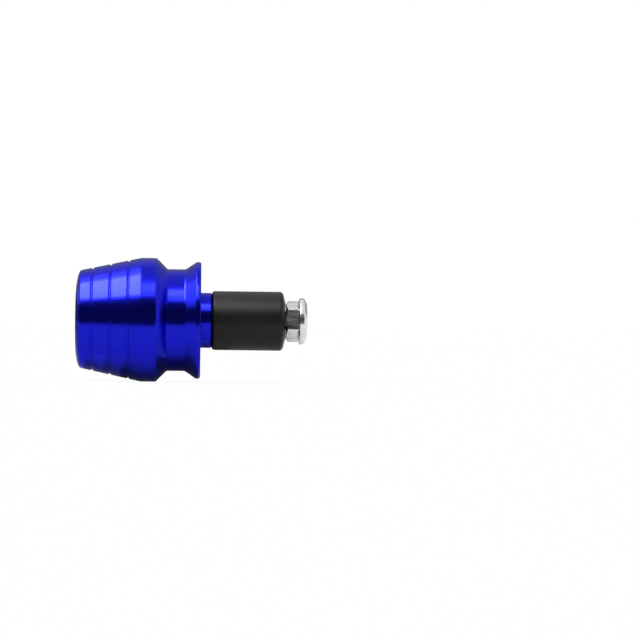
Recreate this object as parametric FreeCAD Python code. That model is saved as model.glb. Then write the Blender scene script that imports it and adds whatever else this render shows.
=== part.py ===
import FreeCAD, Part
import math
import os

from FreeCAD import Vector

# Bar end weight with a rubber expander, in millimetres.
# X is the handlebar's axis: the outer face looks along -X, the nut along +X.
# The origin is the centre of the flat seat that meets the end of the bar, and +Z is up.

# Weight body, from the outer face to the seat
head_diameter = 35.0
cone_small_diameter = 27.6
crown_depth = 1.05
crown_angle = 25.0
crown_radius = 11.5
cone_length = 17.25
land_length = 4.3
shoulder_angle = 45.0
waist_diameter = 28.8
waist_length = 5.1
flare_length = 3.1
rim_diameter = 33.0
rim_land = 1.3
edge_break = 0.25
shoulder_break = 0.5
flare_rounding = 1.2
rim_break = 0.6

# Edges broken by no more than this are cut flat, and all others are rounded
flat_break_limit = 0.6

# Grooves around the cone, set evenly about its middle, their walls sloping to a flat floor
groove_count = 3
groove_pitch = 5.1
groove_width = 0.85
groove_floor_width = 0.4
groove_depth = 0.35

# Spigot that centres the body in the bar
spigot_diameter = 15.6
spigot_length = 3.1
spigot_chamfer = 0.3

# Clamp screw, M6 x 55 with a socket head
thread_diameter = 6.0
thread_pitch = 1.0
screw_length = 55.0
screw_head_diameter = 10.0
screw_head_height = 6.0
screw_head_break = 0.6
screw_tip_chamfer = 0.6
socket_across_flats = 5.0
socket_depth = 3.0
socket_chamfer = 0.25
socket_point_angle = 120.0

# Holes in the body for the screw
screw_hole_clearance = 0.3
counterbore_clearance = 0.5
counterbore_chamfer = 0.4

# Rubber expander bush
bush_diameter = 16.7
bush_length = 20.0
bush_bore_clearance = 0.5
bush_inner_break = 0.6
bush_outer_rounding = 1.1
bush_end_angle = 15.0

# Flanged nut, M6, with its hexagon towards the bush
nut_height = 6.0
nut_across_flats = 10.2
nut_end_chamfer_angle = 30.0
nut_end_diameter = 9.8
nut_lean = -6.0
nut_flange_diameter = 13.2
nut_flange_thickness = 2.1
nut_flange_angle = 25.0
nut_flange_face_diameter = 9.8
nut_flange_edge = 0.85
nut_face_rounding = 2.0
nut_edge_rounding = 0.9
nut_rim_break = 0.15
nut_bore_chamfer = 0.5

# Clearances between the screw, the nut and the bush's pocket
thread_clearance = 0.05
pocket_clearance = 0.12
pocket_floor_clearance = 0.3
nut_start_gap = 0.15
nut_seat_gap = 0.1
screw_tip_recess = 0.8

# How far a cutting tool runs past the face it cuts
overrun = 1.0

# Places along the axis that follow from the sizes above
head_radius = head_diameter / 2
cone_small_radius = cone_small_diameter / 2
waist_radius = waist_diameter / 2
rim_radius = rim_diameter / 2
spigot_radius = spigot_diameter / 2
shank_radius = thread_diameter / 2
bush_radius = bush_diameter / 2
flange_radius = nut_flange_diameter / 2

rim_start = -rim_land
flare_start = rim_start - flare_length
waist_start = flare_start - waist_length
land_end = waist_start - (head_radius - waist_radius) / math.tan(math.radians(shoulder_angle))
cone_end = land_end - land_length
cone_start = cone_end - cone_length
outer_face = cone_start - crown_depth

bush_start = spigot_length
bush_edge = bush_start + bush_length
pocket_across_flats = nut_across_flats + 2 * pocket_clearance


def bush_end_at(radius):
    """Place along X of the bush's coned end at a distance from the axis."""
    return bush_edge + (bush_radius - radius) * math.tan(math.radians(bush_end_angle))


bush_end = bush_end_at(pocket_across_flats / 2)
nut_start = bush_end + nut_start_gap
nut_end = nut_start + nut_height
flange_start = nut_end - nut_flange_thickness


def flange_back_at(radius):
    """Place along X of the flange's coned back at a distance from the axis."""
    return flange_start - (flange_radius - radius) * math.tan(math.radians(nut_flange_angle))


# The nut is drawn in until its flange nearly meets the bush, with its hexagon in the pocket
nut_travel = flange_back_at(pocket_across_flats / 2) - bush_end - nut_seat_gap
pocket_floor = nut_start - nut_travel - pocket_floor_clearance

screw_tip = nut_end - screw_tip_recess
screw_seat = screw_tip - screw_length
screw_head_top = screw_seat - screw_head_height


def corner_reach(before, corner, after, rounding):
    """Length that a rounding takes from both lines at a corner, and half the corner's angle."""
    half = (before - corner).getAngle(after - corner) / 2
    return rounding / math.tan(half), half


def turned(outline):
    """Solid turned about X from corners (x, radius, break), each break held to its lines' lengths."""
    points = [Vector(x, 0, radius) for x, radius, rounding in outline]
    count = len(points)
    corners = [
        corner_reach(points[i - 1], points[i], points[(i + 1) % count], outline[i][2])
        for i in range(count)
    ]
    edges = []
    arcs = []
    for i in range(count):
        reach, half = corners[i]
        for other in (i - 1, (i + 1) % count):
            length = (points[other] - points[i]).Length
            taken = reach + corners[other][0]
            if taken > length:
                reach = min(reach, corners[i][0] * length / taken)
        back = (points[i - 1] - points[i]).normalize()
        ahead = (points[(i + 1) % count] - points[i]).normalize()
        inward = (back + ahead).normalize()
        radius = reach * math.tan(half)
        middle = points[i] + inward * (radius / math.sin(half) - radius)
        arcs.append((points[i] + back * reach, middle, points[i] + ahead * reach))
    for i in range(count):
        start, middle, end = arcs[i]
        following = arcs[(i + 1) % count][0]
        if (end - start).Length > 1e-6:
            flat = outline[i][2] <= flat_break_limit
            edge = Part.LineSegment(start, end) if flat else Part.Arc(start, middle, end)
            edges.append(edge.toShape())
        if (following - end).Length > 1e-6:
            edges.append(Part.LineSegment(end, following).toShape())
    face = Part.Face(Part.Wire(edges))
    return face.revolve(Vector(0, 0, 0), Vector(1, 0, 0), 360)


def hexagon_bar(across_flats, start, end, lean):
    """Hexagonal bar along X, with one corner up before it leans about X by an angle in degrees."""
    radius = across_flats / 2 / math.cos(math.radians(30))
    corners = []
    for i in range(7):
        angle = math.radians(lean + 60 * i)
        corners.append(Vector(start, -radius * math.sin(angle), radius * math.cos(angle)))
    return Part.Face(Part.makePolygon(corners)).extrude(Vector(end - start, 0, 0))


def groove_tool(middle):
    """Ring that cuts one groove square to the cone's surface, its walls carried on past that surface."""
    slope = math.atan2(head_radius - cone_small_radius, cone_length)
    surface = cone_small_radius + (middle - cone_start) * math.tan(slope)
    floor = groove_floor_width / 2
    rise = (groove_depth + overrun) / groove_depth
    mouth = floor + (groove_width / 2 - floor) * rise
    section = [(-mouth, overrun), (-floor, -groove_depth), (floor, -groove_depth), (mouth, overrun)]
    outline = []
    for along, out in section:
        x = middle + along * math.cos(slope) - out * math.sin(slope)
        outline.append((x, surface + along * math.sin(slope) + out * math.cos(slope), 0))
    return turned(outline)


def weight_body():
    """One turned piece: crowned face, grooved cone, land, waist, flared rim and spigot."""
    hole = shank_radius + screw_hole_clearance
    counterbore = screw_head_diameter / 2 + counterbore_clearance
    crown = cone_small_radius - crown_depth / math.tan(math.radians(crown_angle))
    body = turned(
        [
            (outer_face, counterbore + counterbore_chamfer, 0),
            (outer_face, crown, crown_radius),
            (cone_start, cone_small_radius, edge_break),
            (cone_end, head_radius, shoulder_break),
            (land_end, head_radius, edge_break),
            (waist_start, waist_radius, shoulder_break),
            (flare_start, waist_radius, flare_rounding),
            (rim_start, rim_radius, edge_break),
            (0, rim_radius, rim_break),
            (0, spigot_radius, 0),
            (spigot_length - spigot_chamfer, spigot_radius, 0),
            (spigot_length, spigot_radius - spigot_chamfer, 0),
            (spigot_length, hole, 0),
            (screw_seat, hole, 0),
            (screw_seat, counterbore, 0),
            (outer_face + counterbore_chamfer, counterbore, 0),
        ]
    )
    first = (cone_start + cone_end) / 2 - (groove_count - 1) / 2 * groove_pitch
    for i in range(groove_count):
        body = body.cut(groove_tool(first + i * groove_pitch))
    return body


def clamp_screw():
    """Socket head screw, its head on the counterbore's floor; the thread is a plain cylinder."""
    head_radius_here = screw_head_diameter / 2
    blank = turned(
        [
            (screw_head_top, 0, 0),
            (screw_head_top, head_radius_here, screw_head_break),
            (screw_seat, head_radius_here, edge_break),
            (screw_seat, shank_radius, 0),
            (screw_tip - screw_tip_chamfer, shank_radius, 0),
            (screw_tip, shank_radius - screw_tip_chamfer, 0),
            (screw_tip, 0, 0),
        ]
    )
    corner = socket_across_flats / 2 / math.cos(math.radians(30))
    floor = screw_head_top + socket_depth
    point = floor + corner / math.tan(math.radians(socket_point_angle / 2))
    drill = turned([(floor, 0, 0), (floor, corner, 0), (point, 0, 0)])
    mouth = turned(
        [
            (screw_head_top - overrun, 0, 0),
            (screw_head_top - overrun, corner + socket_chamfer + overrun, 0),
            (screw_head_top + corner + socket_chamfer, 0, 0),
        ]
    )
    key_room = hexagon_bar(socket_across_flats, screw_head_top - overrun, floor, 0)
    point_room = hexagon_bar(socket_across_flats, floor, point, 0).common(drill)
    return blank.cut(key_room).cut(point_room).cut(mouth)


def rubber_bush():
    """Expander bush with a clear bore and a hexagonal pocket that keeps the nut from turning."""
    bore = shank_radius + bush_bore_clearance
    sleeve = turned(
        [
            (bush_start, bore, 0),
            (bush_start, bush_radius, bush_inner_break),
            (bush_edge, bush_radius, bush_outer_rounding),
            (bush_end_at(bore), bore, 0),
        ]
    )
    pocket = hexagon_bar(pocket_across_flats, pocket_floor, bush_end + overrun, nut_lean)
    return sleeve.cut(pocket)


def expander_nut():
    """Flanged nut: a chamfered hexagon, a coned flange with a rounded face, and a plain bore."""
    bore = shank_radius + thread_clearance
    end_radius = nut_end_diameter / 2
    corner = nut_across_flats / 2 / math.cos(math.radians(30))
    widest = corner + overrun
    chamfer_end = nut_start + (widest - end_radius) * math.tan(math.radians(nut_end_chamfer_angle))
    blank = turned(
        [
            (nut_start, 0, 0),
            (nut_start, end_radius, 0),
            (chamfer_end, widest, 0),
            (flange_start, widest, 0),
            (flange_start, 0, 0),
        ]
    )
    hexagon = hexagon_bar(nut_across_flats, nut_start, flange_start, nut_lean).common(blank)
    flange = turned(
        [
            (flange_back_at(0), 0, 0),
            (flange_start, flange_radius, nut_rim_break),
            (nut_end - nut_flange_edge, flange_radius, nut_edge_rounding),
            (nut_end, nut_flange_face_diameter / 2, nut_face_rounding),
            (nut_end, 0, 0),
        ]
    )
    mouth = bore + nut_bore_chamfer
    bore_room = turned(
        [
            (nut_start - overrun, 0, 0),
            (nut_start - overrun, mouth + overrun, 0),
            (nut_start + nut_bore_chamfer, bore, 0),
            (nut_end - nut_bore_chamfer, bore, 0),
            (nut_end + overrun, mouth + overrun, 0),
            (nut_end + overrun, 0, 0),
        ]
    )
    return hexagon.fuse(flange).cut(bore_room).removeSplitter()


def save(name, shape):
    """Writes one piece's solid as a STEP file and reports its size."""
    solid = shape.Solids[0]
    if len(shape.Solids) != 1 or not solid.isValid():
        raise ValueError(f"{name} is not one valid solid")
    solid.exportStep(os.path.join("parts", name + ".step"))
    print(f"{name}: {solid.Volume:.1f} mm3")


def main():
    """Builds every piece of the weight and prints the nut's travel."""
    os.makedirs("parts", exist_ok=True)
    save("weight_body", weight_body())
    save("clamp_screw", clamp_screw())
    save("rubber_bush", rubber_bush())
    save("expander_nut", expander_nut())
    turns = nut_travel / thread_pitch
    print(f"nut travel {nut_travel:.3f} mm, {turns:.3f} turns of the screw")
    print(f"bush end {bush_end:.3f}, nut {nut_start:.3f} to {nut_end:.3f}, screw seat {screw_seat:.3f}")


main()
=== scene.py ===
"""Dresses the bar end weight: a turned blue weight, its clamp screw, rubber bush and flanged nut."""

import logging
import math
from dataclasses import dataclass
from enum import Enum
from typing import Callable, Sequence

import bmesh
import bpy
from mathutils import Matrix, Vector


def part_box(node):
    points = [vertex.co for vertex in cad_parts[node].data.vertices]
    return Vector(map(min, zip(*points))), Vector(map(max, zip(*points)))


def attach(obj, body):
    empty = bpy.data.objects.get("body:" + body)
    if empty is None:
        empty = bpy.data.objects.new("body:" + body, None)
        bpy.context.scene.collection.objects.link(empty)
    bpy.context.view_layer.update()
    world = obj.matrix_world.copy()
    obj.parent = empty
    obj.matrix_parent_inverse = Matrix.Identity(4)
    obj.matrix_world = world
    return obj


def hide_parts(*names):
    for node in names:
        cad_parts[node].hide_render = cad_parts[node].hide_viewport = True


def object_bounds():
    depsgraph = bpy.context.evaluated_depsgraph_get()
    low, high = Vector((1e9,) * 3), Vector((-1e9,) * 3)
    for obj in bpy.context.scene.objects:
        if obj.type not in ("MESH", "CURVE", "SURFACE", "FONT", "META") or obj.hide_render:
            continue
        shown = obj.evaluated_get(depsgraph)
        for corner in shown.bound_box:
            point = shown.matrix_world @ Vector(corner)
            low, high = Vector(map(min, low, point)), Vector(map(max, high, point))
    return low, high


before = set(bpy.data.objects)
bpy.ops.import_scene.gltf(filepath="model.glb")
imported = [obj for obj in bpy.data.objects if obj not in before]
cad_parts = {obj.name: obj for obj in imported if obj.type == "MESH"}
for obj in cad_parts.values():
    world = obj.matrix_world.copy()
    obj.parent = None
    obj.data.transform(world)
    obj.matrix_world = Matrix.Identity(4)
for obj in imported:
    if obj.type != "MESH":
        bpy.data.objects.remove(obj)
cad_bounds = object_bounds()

log = logging.getLogger("bar_end_weight")

# Millimetres are the working unit of every mesh, and metres the unit of the scene
MM = 0.001
# Blender's circle lies in XY, and this turns it to face along X with its first corner up
FACING_X = Matrix(((0, 0, 1, 0), (1, 0, 0, 0), (0, 1, 0, 0), (0, 0, 0, 1)))
# Points this close to a place, in millimetres, lie on it, and points closer than MERGED are one
SAME = 1e-3
MERGED = 1e-4
# A hexagon's sides, and the faces across each of its rounded corners
SIDES = 6
CORNER_FACES = 2
# Half of the angle of a metric thread, and of the angle that a hexagon's side spans, in degrees
HALF_ANGLE = 30.0
# Profile of a bevel that follows a round arc, and the weight that lets large faces lead the shading
ROUND = 0.5
FACE_WEIGHT = 100
# Cards of the studio carry their brightness in this attribute, on this many strips
LEVEL = "Level"
CARD_STRIPS = 60
# Rays that don't see the cards, which only show in reflections
BLIND_RAYS = ("camera", "diffuse", "transmission", "volume_scatter", "shadow")

Vert = bmesh.types.BMVert
Edges = list[bmesh.types.BMEdge]
Object = bpy.types.Object
Socket = bpy.types.NodeSocket
Value = float | Socket
Values = tuple[float, ...]
Pair = tuple[float, float]
Colour = tuple[float, float, float]
Tones = tuple[Colour, Colour]


class Body(Enum):
    """Bodies of the frame that a piece can ride on."""

    WEIGHT = "weight"
    SCREW = "screw"
    NUT = "nut"


class Slot(Enum):
    """Material slots of the record."""

    BLUE = "anodised_body"
    STEEL = "screw_steel"
    RUBBER = "black_rubber"
    ZINC = "nut_zinc"


class Effect(Enum):
    """Shader node groups that several finishes share."""

    TURNING_MARKS = "Turning marks"
    CLOUDS = "Clouds"
    GRAIN = "Grain"


@dataclass(frozen=True)
class Corner:
    """A corner of a turned outline, in millimetres.

    Attributes:
        x: Place along the axis.
        radius: Distance from the axis.
        reach: How far the corner's rounding reaches along both of its sides.
        faces: Faces across the rounding.
    """

    x: float
    radius: float
    reach: float = 0.0
    faces: int = 3


def box_mm(node: str) -> tuple[Vector, Vector]:
    """Gives a frame node's lowest and highest corners in millimetres."""
    low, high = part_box(node)
    return low / MM, high / MM


def cone_step(rise: float, degrees: float) -> float:
    """Gives the run along the axis of a cone that rises by a radius at an angle to a flat face."""
    return rise * math.tan(math.radians(degrees))


def corner_radius(flats: float) -> float:
    """Gives the distance from a hexagon's middle to its corners."""
    return flats / 2 / math.cos(math.radians(HALF_ANGLE))


def thread_section(crest_width: float, crest: float, root: float) -> list[Pair]:
    """Gives a metric thread's section, from its crest to its root, as places along X and radii."""
    half, wide = crest_width / 2, crest_width / 2 + cone_step(abs(crest - root), HALF_ANGLE)
    return [(-half, crest), (half, crest), (wide, root), (-wide, root)]


def off_axis(vert: Vert) -> float:
    """Gives a point's distance from the axis."""
    return math.hypot(vert.co.y, vert.co.z)


def set_off_axis(vert: Vert, radius: float) -> None:
    """Moves a point straight towards the axis, or away from it, to a radius."""
    share = radius / off_axis(vert)
    vert.co = Vector((vert.co.x, vert.co.y * share, vert.co.z * share))


def new_object(name: str, mesh: bmesh.types.BMesh) -> Object:
    """Turns a finished mesh into an object of the scene, at the origin.

    Args:
        name: Name of the object and of its data.
        mesh: The mesh, which is freed.

    Returns:
        The new object.
    """
    data = bpy.data.meshes.new(name)
    mesh.to_mesh(data)
    mesh.free()
    made = bpy.data.objects.new(name, data)
    bpy.context.scene.collection.objects.link(made)
    return made


class Lathe:
    """A mesh in millimetres that is turned, broached and threaded about the X axis."""

    def __init__(self, steps: int) -> None:
        """Starts an empty mesh that is turned in a number of steps."""
        self.mesh = bmesh.new()
        self.steps = steps

    def spin(self, outline: Sequence[Pair], closed: bool, turns: float, pitch: float) -> None:
        """Spins an outline about the axis.

        Args:
            outline: Place along X and radius of each corner, in order.
            closed: Whether the last corner joins the first.
            turns: Number of turns.
            pitch: Travel along X for each turn. Without any, the end meets the start.
        """
        points = [self.mesh.verts.new((x, 0.0, radius)) for x, radius in outline]
        pairs = list(zip(points, points[1:]))
        if closed:
            pairs.append((points[-1], points[0]))
        edges = [self.mesh.edges.new(pair) for pair in pairs]
        bmesh.ops.spin(
            self.mesh, geom=points + edges, cent=(0.0, 0.0, 0.0), axis=(1.0, 0.0, 0.0),
            dvec=(pitch / self.steps, 0.0, 0.0), angle=math.tau * turns,
            steps=round(self.steps * turns), use_merge=not pitch,
        )

    def turn(self, *corners: Corner, closed: bool = False) -> None:
        """Spins an outline through a full turn and rounds its corners.

        Args:
            corners: The outline's corners in order.
            closed: Whether the last corner joins the first.
        """
        self.spin([(c.x, c.radius) for c in corners], closed, 1.0, 0.0)
        bmesh.ops.remove_doubles(self.mesh, verts=self.mesh.verts[:], dist=MERGED)
        for corner in corners:
            if corner.reach > 0.0:
                self.bevel(self.ring(corner.x, corner.radius), "EDGES", corner.reach, corner.faces)

    def bevel(self, geom: list[Vert] | Edges, affect: str, reach: float, faces: int) -> list[Vert]:
        """Rounds edges, or the corners of a loose outline.

        Args:
            geom: The edges or the corners.
            affect: EDGES or VERTICES.
            reach: How far the rounding reaches along both sides.
            faces: Faces across the rounding.

        Returns:
            The points of the rounding.
        """
        made = bmesh.ops.bevel(
            self.mesh, geom=geom, offset=reach, offset_type="OFFSET", segments=faces, profile=ROUND,
            affect=affect, clamp_overlap=False, loop_slide=affect == "EDGES", material=-1,
        )
        return made["verts"]

    def ring(self, x: float, radius: float) -> Edges:
        """Finds the edges that run round the axis at a place along it and a radius."""
        at = {v for v in self.mesh.verts if math.dist((v.co.x, off_axis(v)), (x, radius)) < SAME}
        return [e for e in self.mesh.edges if at.issuperset(e.verts)]

    def column(self, vert: Vert) -> int:
        """Gives the number of the step that a point stands on, counted from the top towards -Y."""
        return round(math.atan2(-vert.co.y, vert.co.z) / math.tau * self.steps)

    def hexagon(
        self, flats: float, softness: float, lean: float, place: Callable[[float], float]
    ) -> Edges:
        """Adds a hexagonal ring with rounded corners and as many points as a turned ring.

        Args:
            flats: Distance across the flats.
            softness: How far each corner's rounding reaches.
            lean: Turn about X in degrees, from one corner up.
            place: Gives each point's place along X from its distance to the axis.

        Returns:
            The edges of the ring.
        """
        made = bmesh.ops.create_circle(
            self.mesh, cap_ends=False, radius=corner_radius(flats), segments=SIDES,
            matrix=Matrix.Rotation(math.radians(lean), 4, "X") @ FACING_X,
        )
        rounded = self.bevel(made["verts"], "VERTICES", softness, CORNER_FACES)
        # A side is longer than a quarter of the flats, and a corner's faces are shorter
        sides = dict.fromkeys(e for v in rounded for e in v.link_edges if e.calc_length() > flats / 4)
        cuts = (self.steps - SIDES * CORNER_FACES) // SIDES - 1
        bmesh.ops.subdivide_edges(self.mesh, edges=list(sides), cuts=cuts)
        edges = [e for e in self.mesh.edges if not e.link_faces and abs(e.verts[0].co.x) < SAME]
        for vert in {v for e in edges for v in e.verts}:
            vert.co.x = place(off_axis(vert))
        return edges

    def bridge(self, *rings: Edges) -> None:
        """Joins each ring of edges to the next with faces."""
        for one, other in zip(rings, rings[1:]):
            bmesh.ops.bridge_loops(self.mesh, edges=one + other)

    def wind(
        self, section: Sequence[Pair], start: float, pitch: float, turns: float,
        trim: Callable[[float, float], Pair],
    ) -> None:
        """Winds a section into one right-handed thread with closed ends.

        Args:
            section: Corners of the thread's section, as place along X and radius.
            start: Place along X of the section's middle at the start, straight up from the axis.
            pitch: Travel along X for each turn.
            turns: Number of turns.
            trim: Gives a point's place along X and radius from those it was wound to.
        """
        self.spin([(start + x, radius) for x, radius in section], True, turns, pitch)
        ends = [e for e in self.mesh.edges if len(e.link_faces) == 1]
        bmesh.ops.holes_fill(self.mesh, edges=ends, sides=0)
        for vert in self.mesh.verts:
            vert.co.x, radius = trim(vert.co.x, off_axis(vert))
            set_off_axis(vert, radius)

    def take(self, other: "Lathe") -> None:
        """Moves another lathe's mesh into this one.

        Args:
            other: The other lathe, whose mesh is freed.
        """
        carrier = bpy.data.meshes.new("carrier")
        other.mesh.to_mesh(carrier)
        self.mesh.from_mesh(carrier)
        bpy.data.meshes.remove(carrier)
        other.mesh.free()

    def piece(self, name: str, crease: float) -> Object:
        """Finishes the mesh as a smooth shaded object in metres.

        Args:
            name: Name of the piece.
            crease: Angle in degrees past which an edge stays sharp.

        Returns:
            The new object, at the origin.
        """
        bmesh.ops.recalc_face_normals(self.mesh, faces=self.mesh.faces[:])
        limit = math.radians(crease)
        for face in self.mesh.faces:
            face.smooth = True
        for edge in self.mesh.edges:
            edge.smooth = len(edge.link_faces) == 2 and edge.calc_face_angle() < limit
        bmesh.ops.scale(self.mesh, vec=(MM, MM, MM), verts=self.mesh.verts[:])
        made = new_object(name, self.mesh)
        shading = made.modifiers.new("Even shading", "WEIGHTED_NORMAL")
        shading.mode = "FACE_AREA"
        shading.weight = FACE_WEIGHT
        shading.keep_sharp = True
        return made


class Wiring:
    """A shader node tree that is being wired, a material's or a group's."""

    def __init__(self, tree: bpy.types.NodeTree) -> None:
        """Takes a tree and clears it."""
        self.tree = tree
        self.tree.nodes.clear()

    def node(
        self, kind: str, settings: dict[str, object] | None = None, **inputs: object
    ) -> bpy.types.Node:
        """Adds a node.

        Args:
            kind: The node's type name, without its ShaderNode prefix.
            settings: Properties of the node itself.
            inputs: Values or sockets for inputs, named with _ for a space, or _0 for a number.

        Returns:
            The new node.
        """
        made = self.tree.nodes.new("ShaderNode" + kind)
        for key, value in (settings or {}).items():
            setattr(made, key, value)
        for key, value in inputs.items():
            socket = made.inputs[int(key[1:]) if key[0] == "_" else key.replace("_", " ")]
            if isinstance(value, Socket):
                self.tree.links.new(value, socket)
            else:
                socket.default_value = value
        return made

    def here(self) -> Socket:
        """Gives the point that is shaded, in the object's own coordinates."""
        return self.node("TexCoord").outputs["Object"]

    def maths(self, operation: str, one: Value, other: Value = 0.0) -> Socket:
        """Gives what a Math node makes of one or two values or sockets."""
        return self.node("Math", {"operation": operation}, _0=one, _1=other).outputs[0]

    def mixed(self, share: Value, one: Value, other: Value) -> Socket:
        """Gives a value mixed from two, with a share of the other from 0 to 1."""
        return self.node("Mix", _0=share, _2=one, _3=other).outputs[0]

    def blend(self, share: Value, one: Colour, other: Colour) -> Socket:
        """Gives a colour mixed from two, with a share of the other from 0 to 1."""
        colours = {"_6": (*one, 1.0), "_7": (*other, 1.0)}
        return self.node("Mix", {"data_type": "RGBA"}, _0=share, **colours).outputs[2]

    def bump(self, height: Socket, depth: float) -> Socket:
        """Gives a normal from a height between 0 and 1 and its depth in millimetres."""
        return self.node("Bump", Strength=1.0, Distance=depth * MM, Height=height).outputs[0]


class Effects:
    """Builds the shared node groups once, and places them in finishes."""

    def __init__(self) -> None:
        """Builds the groups."""
        self.built: dict[Effect, bpy.types.NodeTree] = {}
        self.build_turning_marks()
        self.build_clouds()
        self.build_grain()

    def start(
        self, effect: Effect, inputs: Sequence[str], output: str
    ) -> tuple[Wiring, bpy.types.bpy_prop_collection]:
        """Starts a group with its sockets.

        Args:
            effect: The group.
            inputs: Names of its inputs, all plain numbers.
            output: Name of its one output, a plain number.

        Returns:
            The group's wiring, and the sockets that give its inputs.
        """
        tree = bpy.data.node_groups.new(effect.value, "ShaderNodeTree")
        for name in inputs:
            tree.interface.new_socket(name, in_out="INPUT", socket_type="NodeSocketFloat")
        tree.interface.new_socket(output, in_out="OUTPUT", socket_type="NodeSocketFloat")
        self.built[effect] = tree
        return Wiring(tree), tree.nodes.new("NodeGroupInput").outputs

    def finish(self, wiring: Wiring, value: Socket) -> None:
        """Sends a value to a group's output."""
        end = wiring.tree.nodes.new("NodeGroupOutput")
        wiring.tree.links.new(value, end.inputs[0])

    def build_turning_marks(self) -> None:
        """Fine rings that a tool leaves all round the axis, on cylinders, cones and faces alike."""
        w, given = self.start(Effect.TURNING_MARKS, ("Spacing", "Unevenness"), "Height")
        place = w.node("SeparateXYZ", _0=w.here()).outputs
        squares = [w.maths("MULTIPLY", place[i], place[i]) for i in (1, 2)]
        radius = w.maths("SQRT", w.maths("ADD", *squares))
        # Along a face the tool travels in the radius, along a cylinder in X: this share keeps both apart
        radius_share = 0.61
        travel = w.maths("ADD", place[0], w.maths("MULTIPLY", radius, radius_share))
        steps = w.maths("DIVIDE", w.maths("MULTIPLY", travel, 1.0 / MM), given["Spacing"])
        drift = w.node("TexNoise", Vector=w.here(), Scale=160.0, Detail=1.0).outputs[0]
        wander = w.maths("MULTIPLY", drift, given["Unevenness"])
        marks = w.node(
            "TexNoise", {"noise_dimensions": "1D"},
            W=w.maths("ADD", steps, wander), Scale=1.0, Detail=3.0, Roughness=0.65,
        )
        self.finish(w, marks.outputs[0])

    def build_clouds(self) -> None:
        """Soft uneven patches, sharpened about their middle and drawn out along the axis."""
        inputs = ("Size", "Contrast", "Detail", "Stretch")
        w, given = self.start(Effect.CLOUDS, inputs, "Mask")
        place = w.node("SeparateXYZ", _0=w.here()).outputs
        along = w.maths("DIVIDE", place[0], given["Stretch"])
        noise = w.node(
            "TexNoise",
            Vector=w.node("CombineXYZ", _0=along, _1=place[1], _2=place[2]).outputs[0],
            Scale=w.maths("DIVIDE", 1.0 / MM, given["Size"]),
            Detail=given["Detail"], Roughness=0.55,
        ).outputs[0]
        middle = 0.5
        spread = w.maths("MULTIPLY", w.maths("SUBTRACT", noise, middle), given["Contrast"])
        self.finish(w, w.node("Clamp", _0=w.maths("ADD", spread, middle)).outputs[0])

    def build_grain(self) -> None:
        """Fine pits and bumps of a moulded or plated skin."""
        w, given = self.start(Effect.GRAIN, ("Size", "Coarse share"), "Height")
        coarseness = 5.0
        scale = w.maths("DIVIDE", 1.0 / MM, given["Size"])
        wide_scale = w.maths("DIVIDE", scale, coarseness)
        fine = w.node("TexNoise", Vector=w.here(), Scale=scale, Detail=2.0).outputs[0]
        wide = w.node("TexNoise", Vector=w.here(), Scale=wide_scale, Detail=1.0).outputs[0]
        self.finish(w, w.mixed(given["Coarse share"], fine, wide))

    def place(self, wiring: Wiring, effect: Effect, values: Sequence[float]) -> Socket:
        """Places a shared group in a finish.

        Args:
            wiring: The finish's wiring.
            effect: Which group.
            values: Values of its inputs, in their order.

        Returns:
            The group's output socket.
        """
        node = wiring.tree.nodes.new("ShaderNodeGroup")
        node.node_tree = self.built[effect]
        for socket, value in zip(node.inputs, values):
            socket.default_value = value
        return node.outputs[0]


def wired(owner: bpy.types.ID) -> Wiring:
    """Gives a material or a world a node tree to be wired."""
    owner.use_nodes = True
    return Wiring(owner.node_tree)


@dataclass(frozen=True)
class Finish:
    """What every finish has: two tones in soft clouds, over a relief that a fine grain covers.

    Attributes:
        name: Name of the material.
        tones: The two colours.
        roughness: The lowest and the highest roughness.
        clouds: Size in millimetres, contrast, detail and stretch of the clouds.
        relief: The effect that leads the relief.
        relief_values: That effect's inputs, with sizes in millimetres.
        grain: Size in millimetres and coarse share of the grain.
        grain_share: Share of the grain in the relief.
        depth: Depth of the relief, in millimetres.
        dull_in_relief: Whether the relief sets the roughness, and not the clouds.
    """

    name: str
    tones: Tones
    roughness: Pair
    clouds: Values
    relief: Effect
    relief_values: Values
    grain: Pair
    grain_share: float
    depth: float
    dull_in_relief: bool = False

    def shine(self) -> dict[str, object]:
        """Gives the shader's inputs that stay constant."""
        return {"Metallic": 1.0}

    def build(self, effects: Effects) -> bpy.types.Material:
        """Builds the material.

        Args:
            effects: The shared node groups.

        Returns:
            The material.
        """
        material = bpy.data.materials.new(self.name)
        w = wired(material)
        clouds = effects.place(w, Effect.CLOUDS, self.clouds)
        relief = effects.place(w, self.relief, self.relief_values)
        grain = effects.place(w, Effect.GRAIN, self.grain)
        shader = w.node(
            "BsdfPrincipled",
            Base_Color=w.blend(clouds, *self.tones),
            Roughness=w.mixed(relief if self.dull_in_relief else clouds, *self.roughness),
            Normal=w.bump(w.mixed(self.grain_share, relief, grain), self.depth),
            **self.shine(),
        )
        w.node("OutputMaterial", Surface=shader.outputs[0])
        return material


@dataclass(frozen=True)
class AnodisedBlue(Finish):
    """Turned aluminium, polished and dyed deep blue, under a clear seal."""

    name: str = "Anodised blue"
    tones: Tones = ((0.0095, 0.0128, 0.56), (0.0086, 0.0115, 0.52))
    roughness: Pair = (0.16, 0.21)
    clouds: Values = (7.0, 1.6, 3.0, 1.0)
    relief: Effect = Effect.TURNING_MARKS
    relief_values: Values = (0.16, 0.35)
    grain: Pair = (0.05, 0.4)
    grain_share: float = 0.12
    depth: float = 0.006
    dull_in_relief: bool = True
    grazing: Colour = (0.70, 0.70, 0.92)
    seal: float = 0.06
    seal_roughness: float = 0.06

    def shine(self) -> dict[str, object]:
        """Gives the metal, its tint at grazing angles and its seal."""
        seal = {"Coat_Weight": self.seal, "Coat_Roughness": self.seal_roughness}
        return {"Metallic": 1.0, "Specular_Tint": (*self.grazing, 1.0), **seal}


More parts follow.
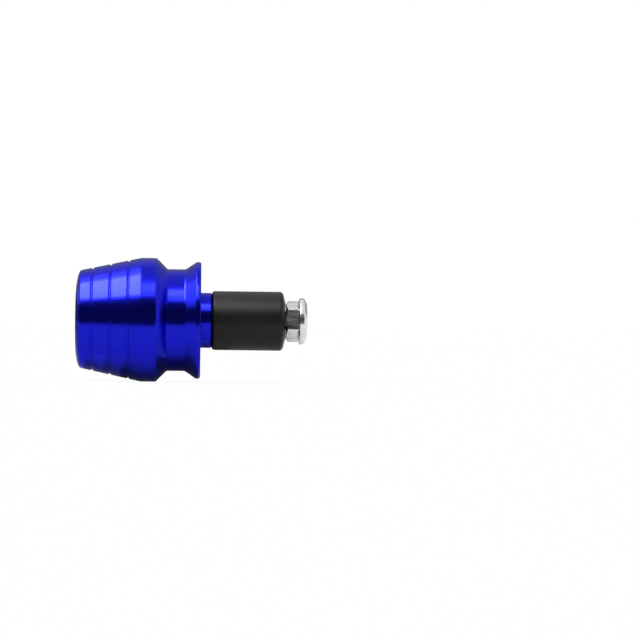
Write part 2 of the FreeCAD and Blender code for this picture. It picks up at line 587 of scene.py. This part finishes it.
@dataclass(frozen=True)
class ZincPlate(Finish):
    """Bright zinc plating on a cold-formed nut, with soft lumps under it."""

    name: str = "Bright zinc plate"
    tones: Tones = ((0.80, 0.80, 0.79), (0.66, 0.67, 0.68))
    roughness: Pair = (0.13, 0.22)
    clouds: Values = (1.9, 3.0, 2.0, 2.0)
    relief: Effect = Effect.CLOUDS
    relief_values: Values = (1.3, 1.0, 0.8, 5.0)
    grain: Pair = (0.09, 0.5)
    grain_share: float = 0.006
    depth: float = 0.16


@dataclass(frozen=True)
class ScrewSteel(Finish):
    """Plated steel of a screw, with fine drawn rings and a slightly dull thread."""

    name: str = "Screw steel"
    tones: Tones = ((0.56, 0.56, 0.57), (0.40, 0.41, 0.42))
    roughness: Pair = (0.24, 0.36)
    clouds: Values = (2.6, 2.0, 3.0, 1.0)
    relief: Effect = Effect.TURNING_MARKS
    relief_values: Values = (0.12, 0.2)
    grain: Pair = (0.06, 0.4)
    grain_share: float = 0.35
    depth: float = 0.004


@dataclass(frozen=True)
class MouldedRubber(Finish):
    """Black rubber with a fine moulded skin, which is all grain, and a faint bloom."""

    name: str = "Moulded rubber"
    tones: Tones = ((0.0060, 0.0060, 0.0058), (0.0090, 0.0090, 0.0086))
    roughness: Pair = (0.33, 0.41)
    clouds: Values = (4.5, 2.2, 3.0, 1.0)
    relief: Effect = Effect.GRAIN
    relief_values: Values = (0.11, 0.45)
    grain: Pair = (0.11, 0.45)
    grain_share: float = 1.0
    depth: float = 0.012
    gloss: float = 0.20

    def shine(self) -> dict[str, object]:
        """Gives the gloss of the rubber."""
        return {"Specular_IOR_Level": self.gloss}


def dress(made: Object, finish: Finish, effects: Effects, slot: Slot) -> None:
    """Gives a piece its finish."""
    made.data.materials.append(finish.build(effects))


@dataclass
class WeightBody:
    """The turned weight: crowned face, grooved cone, land, waist, flared rim, seat and spigot."""

    small_radius: float = 13.8
    small_reach: float = 0.45
    crown_depth: float = 1.05
    crown_angle: float = 25.0
    crown_reach: float = 2.1
    cone_length: float = 17.25
    land_length: float = 4.3
    land_front_reach: float = 0.10
    land_back_reach: float = 0.20
    waist_radius: float = 14.4
    waist_length: float = 5.1
    waist_reach: float = 0.32
    flare_length: float = 3.1
    flare_reach: float = 0.42
    rim_radius: float = 16.5
    rim_land: float = 1.3
    rim_front_reach: float = 0.14
    rim_back_reach: float = 0.60
    spigot_radius: float = 7.8
    spigot_chamfer: float = 0.3
    chamfer_reach: float = 0.06
    groove_count: int = 3
    groove_pitch: float = 5.1
    groove_width: float = 0.85
    groove_floor: float = 0.4
    groove_depth: float = 0.30
    lip_reach: float = 0.05
    groove_reach: float = 0.17
    hole_radius: float = 3.3
    hole_reach: float = 0.15
    counterbore_radius: float = 5.5
    counterbore_chamfer: float = 0.4
    mouth_reach: float = 0.08
    seat_reach: float = 0.3
    screw_head_height: float = 6.0
    steps: int = 256
    crease: float = 30.0

    def groove(self, middle: float, surface: float, slope: float) -> list[Corner]:
        """Gives the corners of one groove, cut square to the cone.

        Args:
            middle: Place along X of the groove's middle on the cone.
            surface: Radius of the cone there.
            slope: The cone's angle to the axis, in radians.

        Returns:
            Four corners, from the small end to the large end.
        """
        corners = []
        for along, out, reach in (
            (-self.groove_width / 2, 0.0, self.lip_reach),
            (-self.groove_floor / 2, -self.groove_depth, self.groove_reach),
            (self.groove_floor / 2, -self.groove_depth, self.groove_reach),
            (self.groove_width / 2, 0.0, self.lip_reach),
        ):
            x = middle + along * math.cos(slope) - out * math.sin(slope)
            radius = surface + along * math.sin(slope) + out * math.cos(slope)
            corners.append(Corner(x, radius, reach))
        return corners

    def outline(self) -> list[Corner]:
        """Gives the closed outline, from the mouth of the counterbore round to its wall.

        Returns:
            The corners in order.
        """
        low, high = box_mm("weight_body")
        screw_low, _ = box_mm("clamp_screw")
        outer_face, spigot_end, head_radius = low.x, high.x, high.z
        cone_start = outer_face + self.crown_depth
        cone_end = cone_start + self.cone_length
        land_end = cone_end + self.land_length
        rim_start = -self.rim_land
        flare_start = rim_start - self.flare_length
        waist_start = flare_start - self.waist_length
        screw_seat = screw_low.x + self.screw_head_height
        mouth = self.counterbore_radius + self.counterbore_chamfer
        crown = self.small_radius - self.crown_depth / math.tan(math.radians(self.crown_angle))
        slope = math.atan2(head_radius - self.small_radius, self.cone_length)
        corners = [
            Corner(outer_face, mouth, self.mouth_reach, faces=2),
            Corner(outer_face, crown, self.crown_reach, faces=10),
            Corner(cone_start, self.small_radius, self.small_reach, faces=6),
        ]
        first = (cone_start + cone_end) / 2 - (self.groove_count - 1) / 2 * self.groove_pitch
        for i in range(self.groove_count):
            middle = first + i * self.groove_pitch
            surface = self.small_radius + (middle - cone_start) * math.tan(slope)
            corners += self.groove(middle, surface, slope)
        return corners + [
            Corner(cone_end, head_radius, self.land_front_reach),
            Corner(land_end, head_radius, self.land_back_reach, faces=4),
            Corner(waist_start, self.waist_radius, self.waist_reach, faces=6),
            Corner(flare_start, self.waist_radius, self.flare_reach, faces=6),
            Corner(rim_start, self.rim_radius, self.rim_front_reach, faces=4),
            Corner(0.0, self.rim_radius, self.rim_back_reach, faces=6),
            Corner(0.0, self.spigot_radius),
            Corner(spigot_end - self.spigot_chamfer, self.spigot_radius, self.chamfer_reach, faces=2),
            Corner(spigot_end, self.spigot_radius - self.spigot_chamfer, self.chamfer_reach, faces=2),
            Corner(spigot_end, self.hole_radius, self.hole_reach, faces=2),
            Corner(screw_seat, self.hole_radius),
            Corner(screw_seat, self.counterbore_radius, self.seat_reach),
            Corner(
                outer_face + self.counterbore_chamfer, self.counterbore_radius, self.chamfer_reach, faces=2
            ),
        ]

    def build(self, effects: Effects) -> Object:
        """Builds the weight and dresses it.

        Args:
            effects: The shared node groups.

        Returns:
            The piece.
        """
        lathe = Lathe(self.steps)
        lathe.turn(*self.outline(), closed=True)
        made = lathe.piece("turned_weight", self.crease)
        dress(made, AnodisedBlue(), effects, Slot.BLUE)
        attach(made, Body.WEIGHT.value)
        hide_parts("weight_body")
        return made


@dataclass
class ClampScrew:
    """Socket head screw with a knurled head and a real thread."""

    head_radius: float = 5.0
    head_height: float = 6.0
    head_reach: float = 0.6
    head_back_reach: float = 0.2
    neck_reach: float = 0.25
    knurl_depth: float = 0.10
    knurl_front: float = 0.8
    knurl_back: float = 0.40
    knurl_fade: float = 0.15
    shank_radius: float = 3.0
    shank_reach: float = 0.1
    core_radius: float = 2.39
    core_chamfer: float = 0.05
    thread_length: float = 24.0
    thread_start: float = 4.8
    thread_root: float = 2.3
    thread_steps: int = 60
    pitch: float = 1.0
    crest_width: float = 0.125
    end_margin: float = 0.02
    chamfer_margin: float = 0.01
    run_out_margin: float = 0.05
    tip_chamfer: float = 0.6
    socket_flats: float = 5.0
    socket_depth: float = 3.0
    socket_mouth: float = 0.25
    socket_softness: float = 0.08
    drill_radius: float = 2.42
    drill_point: float = 1.4
    steps: int = 144
    crease: float = 32.0

    def knurl(self, lathe: Lathe, start: float, end: float) -> None:
        """Presses straight flutes into the side of the head.

        Args:
            lathe: The screw's mesh.
            start: Where the flutes start along X.
            end: Where they end.
        """
        for vert in lathe.mesh.verts:
            on_side = abs(off_axis(vert) - self.head_radius) < SAME
            if on_side and start - SAME < vert.co.x < end + SAME and lathe.column(vert) % 2:
                set_off_axis(vert, self.head_radius - self.knurl_depth)

    def thread(self, shank_end: float, tip: float) -> Lathe:
        """Winds the thread, run out into the shank and trimmed to the chamfered tip.

        Args:
            shank_end: Where the full shank ends along X.
            tip: Where the screw ends.

        Returns:
            The thread's own mesh.
        """
        last = tip - self.end_margin
        tip_radius = self.shank_radius - self.tip_chamfer - self.chamfer_margin
        run_out_radius = self.shank_radius - self.run_out_margin

        def trim(x: float, radius: float) -> Pair:
            """Keeps a point inside the shank's end and the tip's chamfer."""
            most = run_out_radius if x < shank_end else tip_radius + tip - min(x, last)
            return min(x, last), min(radius, most)

        lathe = Lathe(self.thread_steps)
        section = thread_section(self.crest_width, self.shank_radius, self.thread_root)
        turns = (tip - self.thread_start) / self.pitch
        lathe.wind(section, self.thread_start, self.pitch, turns, trim)
        return lathe

    def build(self, effects: Effects) -> Object:
        """Builds the screw and dresses it.

        Args:
            effects: The shared node groups.

        Returns:
            The piece.
        """
        low, high = box_mm("clamp_screw")
        top, tip = low.x, high.x
        seat = top + self.head_height
        flutes_start = top + self.knurl_front + self.knurl_fade
        flutes_end = seat - self.knurl_back - self.knurl_fade
        core_start = tip - self.thread_length
        shank_end = core_start - (self.shank_radius - self.core_radius)
        mouth = corner_radius(self.socket_flats) + self.socket_mouth
        floor = top + self.socket_depth
        lathe = Lathe(self.steps)
        lathe.turn(
            Corner(top, mouth),
            Corner(top, self.head_radius, self.head_reach, faces=5),
            Corner(flutes_start - self.knurl_fade, self.head_radius),
            Corner(flutes_start, self.head_radius),
            Corner(flutes_end, self.head_radius),
            Corner(flutes_end + self.knurl_fade, self.head_radius),
            Corner(seat, self.head_radius, self.head_back_reach),
            Corner(seat, self.shank_radius, self.neck_reach),
            Corner(shank_end, self.shank_radius, self.shank_reach, faces=2),
            Corner(core_start, self.core_radius),
            Corner(tip - self.core_chamfer, self.core_radius),
            Corner(tip, self.core_radius - self.core_chamfer),
            Corner(tip, 0.0),
        )
        self.knurl(lathe, flutes_start, flutes_end)
        lathe.turn(Corner(floor, self.drill_radius), Corner(floor + self.drill_point, 0.0))
        flats, softness = self.socket_flats, self.socket_softness
        wall_top = lathe.hexagon(flats, softness, 0.0, lambda distance: top + self.socket_mouth)
        wall_end = lathe.hexagon(flats, softness, 0.0, lambda distance: floor)
        lathe.bridge(lathe.ring(top, mouth), wall_top, wall_end, lathe.ring(floor, self.drill_radius))
        lathe.take(self.thread(shank_end, tip))
        made = lathe.piece("clamp_screw_steel", self.crease)
        dress(made, ScrewSteel(), effects, Slot.STEEL)
        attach(made, Body.SCREW.value)
        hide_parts("clamp_screw")
        return made


@dataclass
class RubberBush:
    """Moulded rubber bush with a clear bore and a hexagonal pocket for the nut."""

    end_angle: float = 15.0
    bore_radius: float = 3.5
    bore_reach: float = 0.3
    pocket_flats: float = 10.44
    pocket_floor: float = 20.483
    pocket_softness: float = 0.3
    mouth_radius: float = 6.35
    length: float = 20.0
    outer_reach: float = 0.84
    inner_reach: float = 0.85
    flash_height: float = 0.035
    flash_angle: float = 171.0
    steps: int = 120
    crease: float = 35.0

    def flash(self, lathe: Lathe, radius: float) -> None:
        """Raises the faint line that the halves of the mould leave on both sides.

        Args:
            lathe: The bush's mesh.
            radius: The bush's outer radius.
        """
        middle = round(math.radians(self.flash_angle) / math.tau * self.steps)
        for vert in lathe.mesh.verts:
            here = off_axis(vert)
            on_line = (lathe.column(vert) - middle) % (self.steps // 2) == 0
            if on_line and here > radius - self.outer_reach:
                set_off_axis(vert, here + self.flash_height)

    def build(self, effects: Effects) -> Object:
        """Builds the bush and dresses it.

        Args:
            effects: The shared node groups.

        Returns:
            The piece.
        """
        low, high = box_mm("rubber_bush")
        start, radius = low.x, high.z
        edge = start + self.length

        def end_at(distance: float) -> float:
            """Gives the place of the coned end at a distance from the axis."""
            return edge + cone_step(radius - distance, self.end_angle)

        lathe = Lathe(self.steps)
        lathe.turn(
            Corner(end_at(self.mouth_radius), self.mouth_radius),
            Corner(edge, radius, self.outer_reach, faces=6),
            Corner(start, radius, self.inner_reach, faces=6),
            Corner(start, self.bore_radius, self.bore_reach),
            Corner(self.pocket_floor, self.bore_radius),
        )
        self.flash(lathe, radius)
        flats, softness, lean = self.pocket_flats, self.pocket_softness, ExpanderNut.lean
        floor = lathe.hexagon(flats, softness, lean, lambda distance: self.pocket_floor)
        mouth = lathe.hexagon(flats, softness, lean, end_at)
        bore_end = lathe.ring(self.pocket_floor, self.bore_radius)
        lathe.bridge(bore_end, floor, mouth, lathe.ring(end_at(self.mouth_radius), self.mouth_radius))
        made = lathe.piece("expander_bush_rubber", self.crease)
        dress(made, MouldedRubber(), effects, Slot.RUBBER)
        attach(made, Body.WEIGHT.value)
        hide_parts("rubber_bush")
        return made


@dataclass
class ExpanderNut:
    """Cold-formed flanged nut with its hexagon towards the bush and a real thread."""

    lean: float = -6.0
    flats: float = 10.2
    corner_softness: float = 0.16
    end_radius: float = 4.9
    end_angle: float = 30.0
    flange_thickness: float = 2.1
    flange_angle: float = 25.0
    flange_edge: float = 0.85
    flange_margin: float = 0.4
    flange_back_reach: float = 0.15
    flange_front_reach: float = 0.55
    face_radius: float = 4.9
    face_reach: float = 0.47
    bore_radius: float = 3.05
    bore_chamfer: float = 0.5
    bore_reach: float = 0.08
    end_margin: float = 0.02
    chamfer_margin: float = 0.03
    pitch: float = 1.0
    crest_radius: float = 2.5
    crest_width: float = 0.12
    thread_back: float = 3.2
    thread_start: float = 23.3
    thread_turns: float = 7.3
    thread_steps: int = 60
    steps: int = 120
    crease: float = 28.0

    def thread(self, start: float, end: float) -> Lathe:
        """Winds the thread that stands in from the bore, faded out in both chamfers.

        Args:
            start: Where the nut starts along X.
            end: Where it ends.

        Returns:
            The thread's own mesh.
        """
        mouth = self.bore_radius + self.bore_chamfer + self.chamfer_margin

        def trim(x: float, radius: float) -> Pair:
            """Keeps a point behind the chamfers of the bore."""
            inside = min(max(x, start + self.end_margin), end - self.end_margin)
            return inside, max(radius, mouth - min(inside - start, end - inside))

        lathe = Lathe(self.thread_steps)
        section = thread_section(self.crest_width, self.crest_radius, self.thread_back)
        lathe.wind(section, self.thread_start, self.pitch, self.thread_turns, trim)
        return lathe

    def build(self, effects: Effects) -> Object:
        """Builds the nut and dresses it.

        Args:
            effects: The shared node groups.

        Returns:
            The piece.
        """
        low, high = box_mm("expander_nut")
        start, end, radius = low.x, high.x, high.z
        flange_start = end - self.flange_thickness
        back_radius = radius - self.flange_margin
        mouth = self.bore_radius + self.bore_chamfer

        def back_at(distance: float) -> float:
            """Gives the place of the flange's coned back at a distance from the axis."""
            return flange_start - cone_step(radius - distance, self.flange_angle)

        def chamfer_at(distance: float) -> float:
            """Gives the place of the hexagon's end chamfer at a distance from the axis."""
            return start + cone_step(distance - self.end_radius, self.end_angle)

        lathe = Lathe(self.steps)
        lathe.turn(
            Corner(back_at(back_radius), back_radius),
            Corner(flange_start, radius, self.flange_back_reach),
            Corner(end - self.flange_edge, radius, self.flange_front_reach, faces=6),
            Corner(end, self.face_radius, self.face_reach, faces=4),
            Corner(end, mouth, self.bore_reach, faces=2),
            Corner(end - self.bore_chamfer, self.bore_radius),
            Corner(start + self.bore_chamfer, self.bore_radius),
            Corner(start, mouth, self.bore_reach, faces=2),
            Corner(start, self.end_radius),
        )
        front = lathe.hexagon(self.flats, self.corner_softness, self.lean, chamfer_at)
        back = lathe.hexagon(self.flats, self.corner_softness, self.lean, back_at)
        back_ring = lathe.ring(back_at(back_radius), back_radius)
        lathe.bridge(lathe.ring(start, self.end_radius), front, back, back_ring)
        lathe.take(self.thread(start, end))
        made = lathe.piece("flanged_nut_zinc", self.crease)
        dress(made, ZincPlate(), effects, Slot.ZINC)
        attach(made, Body.NUT.value)
        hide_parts("expander_nut")
        return made


def level_at(levels: Sequence[Pair], place: float) -> float:
    """Gives a card's brightness at a place.

    Args:
        levels: Pairs of a place and the brightness there, in order.
        place: The place.

    Returns:
        The brightness, run straight between the pairs on both sides.
    """
    for (start, one), (end, other) in zip(levels, levels[1:]):
        if place <= end:
            return one + (other - one) * (place - start) / (end - start)
    return levels[-1][1]


@dataclass(frozen=True)
class Card:
    """A glowing studio card, not a lamp, that only shows in reflections, bent round the object's axis,
    where it paints highlights and dark bands.

    Attributes:
        name: Name of the card.
        distance: Distance from the axis, in metres.
        ends: Its left and right ends along X, in metres.
        levels: Pairs of an angle, in degrees from the camera's side over the top, and the
            brightness there, where white is 1.
    """

    name: str
    distance: float
    ends: Pair
    levels: tuple[Pair, ...]

    def spot(self, across: float, place: float) -> Vector:
        """Gives the point of the card at a place along X and an angle."""
        angle = math.radians(place)
        return Vector((across, -math.cos(angle) * self.distance, math.sin(angle) * self.distance))

    def build(self, glow: bpy.types.Material) -> None:
        """Builds the card as a staged strip that carries its brightness.

        Args:
            glow: The material that reads the brightness.
        """
        first, last = self.levels[0][0], self.levels[-1][0]
        left, right = self.ends
        half = 0.5
        mesh = bmesh.new()
        bmesh.ops.create_grid(mesh, x_segments=1, y_segments=CARD_STRIPS, size=half)
        layer = mesh.verts.layers.float.new(LEVEL)
        for vert in mesh.verts:
            place = first + (last - first) * (vert.co.y + half)
            vert[layer] = level_at(self.levels, place)
            vert.co = self.spot(left + (right - left) * (vert.co.x + half), place)
        made = new_object(self.name, mesh)
        made.data.materials.append(glow)
        for ray in BLIND_RAYS:
            setattr(made, "visible_" + ray, False)


class PaintedShadeSheet(Card):
    """A card that lies flat at a height, its distance, with levels by places along Y: a sheet of painted
    shade on the floor, seen only in reflections.
    """

    def spot(self, across: float, place: float) -> Vector:
        """Gives the point of the mat at a place along X and along Y."""
        return Vector((across, place, self.distance))


class Wall(Card):
    """A card that stands across the axis, its distance along X, with levels by heights."""

    def spot(self, across: float, place: float) -> Vector:
        """Gives the point of the wall at a place along Y and a height."""
        return Vector((self.distance, across, place))


# Height of the sheets of painted shade, just over the floor, in metres
PAINTED_SHADE_HEIGHT = -0.01745

CARDS = (
    Card("front_flag", 0.1, (-1.2, 0.2), ((-10, 0.08), (40, 0.08))),
    Card(
        "key_card", 0.6, (-0.084, 0.15),
        ((40, 2.4), (50, 3.0), (62, 3.8), (68, 2.8), (74, 0.9), (79, 0.65), (118, 0.75)),
    ),
    Card(
        "waist_card", 0.15, (-0.0115, 0.003),
        ((42, 2.0), (52, 4.0), (57, 9.0), (68, 8.5), (72, 0.8), (118, 0.8)),
    ),
    Card(
        "side_key_card", 0.6, (-0.405, -0.095),
        ((48, 12.8), (92, 14.6), (97, 3.6), (112, 2.2), (116, 1.0)),
    ),
    Card("far_key_card", 0.6, (-1.35, -0.5), ((58, 1.0), (66, 2.3), (104, 2.9), (116, 1.2))),
    Card("back_flag", 0.12, (-0.4, 0.2), ((116, 1.0), (126, 0.85), (150, 0.36), (172, 0.3))),
    Card(
        "nut_card", 0.035, (0.0244, 0.12),
        (
            (-10, 0.6), (-3, 0.3), (2, 0.02), (9, 0.01), (12, 0.14), (15, 0.26),
            (20, 0.02), (34, 0.2), (42, 0.95), (95, 0.95), (116, 0.8),
        ),
    ),
    Card(
        "end_card", 0.11, (-1.2, -0.115),
        ((158, 3.0), (166, 2.2), (169.5, 0.6), (172.5, 0.08), (180, 0.06), (182, 0.3), (189, 0.45)),
    ),
    Card(
        "edge_card", 0.11, (-0.115, -0.055),
        ((158, 0.4), (170, 0.25), (173, 0.08), (180, 0.06), (182, 0.2), (189, 0.3)),
    ),
    Wall("end_wall", -1.4, (-1.5, 1.5), ((-0.01, 0.05), (0.42, 0.05), (0.54, 1.0), (0.9, 1.6))),
    # Sheets of painted shade that only show in reflections: the contact shadow under the weight's parts,
    # darker under and behind them, and shade on the floor beyond its end
    PaintedShadeSheet("end_painted_shade", PAINTED_SHADE_HEIGHT, (-0.25, -0.038), ((-0.01, 0.9), (0.01, 0.4), (0.108, 0.3))),
    PaintedShadeSheet(
        "spigot_painted_shade", PAINTED_SHADE_HEIGHT, (-0.0005, 0.009),
        ((-0.006, 0.8), (-0.002, 0.5), (0.003, 0.3), (0.012, 0.12), (0.03, 0.12)),
    ),
    PaintedShadeSheet("bush_painted_shade", PAINTED_SHADE_HEIGHT, (0.009, 0.0256), ((-0.03, 1.0), (-0.01, 0.75), (0.01, 0.5), (0.15, 0.3))),
    PaintedShadeSheet(
        "waist_painted_shade", PAINTED_SHADE_HEIGHT, (-0.0232, -0.0005),
        (
            (-0.016, 0.75), (-0.0124, 0.65), (-0.01, 0.43), (-0.008, 0.23),
            (-0.006, 0.12), (-0.0024, 0.08), (0.0, 0.06), (0.03, 0.06),
        ),
    ),
    PaintedShadeSheet(
        "cone_painted_shade", PAINTED_SHADE_HEIGHT, (-0.0286, -0.0232),
        ((-0.015, 0.85), (-0.0118, 0.78), (-0.0094, 0.6), (-0.0069, 0.38), (-0.0041, 0.22), (0.03, 0.1)),
    ),
    PaintedShadeSheet(
        "tip_painted_shade", PAINTED_SHADE_HEIGHT, (-0.034, -0.0286),
        ((-0.012, 1.0), (-0.0095, 0.85), (-0.007, 0.62), (-0.004, 0.3), (0.03, 0.1)),
    ),
)


@dataclass
class Studio:
    """White sweep, soft light, reflection cards and the camera."""

    floor_size: float = 40.0
    floor_colour: float = 0.97
    floor_white_seen: float = 0.93
    floor_white_mirrored: float = 0.10
    fill: float = 0.70
    key_strength: float = 1.09
    key_angle: float = 35.0
    key_tilt: float = 30.0
    camera_place: tuple[float, float, float] = (-0.0014, -0.9, 0.00009)
    camera_angles: tuple[float, float, float] = (90.027, -0.69, -2.24)
    lens: float = 178.6
    sensor: float = 36.0
    cards: tuple[Card, ...] = CARDS

    def build_glow(self) -> bpy.types.Material:
        """Builds the cards' one material, which glows at the level that each carries.

        Returns:
            The material.
        """
        material = bpy.data.materials.new("Card glow")
        w = wired(material)
        level = w.node("Attribute", {"attribute_name": LEVEL}).outputs["Fac"]
        glow = w.node("Emission", Strength=level)
        w.node("OutputMaterial", Surface=glow.outputs[0])
        return material

    def white_seen(self, w: Wiring, mirrored: float) -> Socket:
        """Gives the share of plain white that a ray sees.

        Args:
            w: The material's or the world's wiring.
            mirrored: Share for rays that come from a mirror-like surface.

        Returns:
            A socket with 1 for the camera and for clear materials, and that share for mirrors.
        """
        path = w.node("LightPath").outputs
        clear = w.maths("MAXIMUM", path["Is Camera Ray"], path["Is Transmission Ray"])
        return w.maths("MAXIMUM", clear, w.maths("MULTIPLY", path["Is Glossy Ray"], mirrored))

    def build_world(self) -> None:
        """Builds a white world that lights the object at a plain level."""
        world = bpy.data.worlds.new("White studio")
        w = wired(world)
        strength = w.mixed(self.white_seen(w, 1.0), self.fill, 1.0)
        sky = w.node("Background", Color=(1.0, 1.0, 1.0, 1.0), Strength=strength)
        w.node("OutputWorld", Surface=sky.outputs[0])
        bpy.context.scene.world = world

    def build_floor(self) -> None:
        """Builds the pale floor under the weight's largest diameter."""
        low, _ = cad_bounds
        mesh = bmesh.new()
        bmesh.ops.create_grid(mesh, x_segments=1, y_segments=1, size=self.floor_size / 2)
        bmesh.ops.translate(mesh, vec=(0.0, 0.0, low.z), verts=mesh.verts[:])
        made = new_object("floor", mesh)
        material = bpy.data.materials.new("White floor")
        w = wired(material)
        share = self.floor_white_mirrored / self.floor_white_seen
        seen = w.maths("MULTIPLY", self.white_seen(w, share), self.floor_white_seen)
        paint = w.node("BsdfDiffuse", Color=(self.floor_colour,) * 3 + (1.0,))
        white = w.node("Emission", Strength=1.0)
        mix = w.node("MixShader", _0=seen, _1=paint.outputs[0], _2=white.outputs[0])
        w.node("OutputMaterial", Surface=mix.outputs[0])
        made.data.materials.append(material)

    def build_key(self) -> None:
        """Builds the soft light from the front and above."""
        light = bpy.data.lights.new("soft_key", "SUN")
        light.energy = self.key_strength
        light.angle = math.radians(self.key_angle)
        made = bpy.data.objects.new("soft_key", light)
        made.rotation_euler = (math.radians(self.key_tilt), 0.0, 0.0)
        made.visible_glossy = False
        bpy.context.scene.collection.objects.link(made)

    def build_camera(self) -> None:
        """Builds the camera in front of the weight, turned to leave room on the right."""
        data = bpy.data.cameras.new("camera")
        data.sensor_width = self.sensor
        data.lens = self.lens
        made = bpy.data.objects.new("camera", data)
        made.location = self.camera_place
        made.rotation_euler = [math.radians(angle) for angle in self.camera_angles]
        bpy.context.scene.collection.objects.link(made)
        bpy.context.scene.camera = made

    def build(self) -> None:
        """Builds the whole studio and sets the plain view transform."""
        self.build_world()
        self.build_floor()
        glow = self.build_glow()
        for card in self.cards:
            card.build(glow)
        self.build_key()
        self.build_camera()
        bpy.context.scene.view_settings.view_transform = "Standard"


def main() -> None:
    """Builds every sub-assembly in order, reports each piece and sets up the studio."""
    logging.basicConfig(level=logging.INFO, format="%(message)s")
    effects = Effects()
    for assembly in (WeightBody(), ClampScrew(), RubberBush(), ExpanderNut()):
        made = assembly.build(effects)
        log.info("%s: %d faces", made.name, len(made.data.polygons))
    Studio().build()


if __name__ == "__main__":
    main()
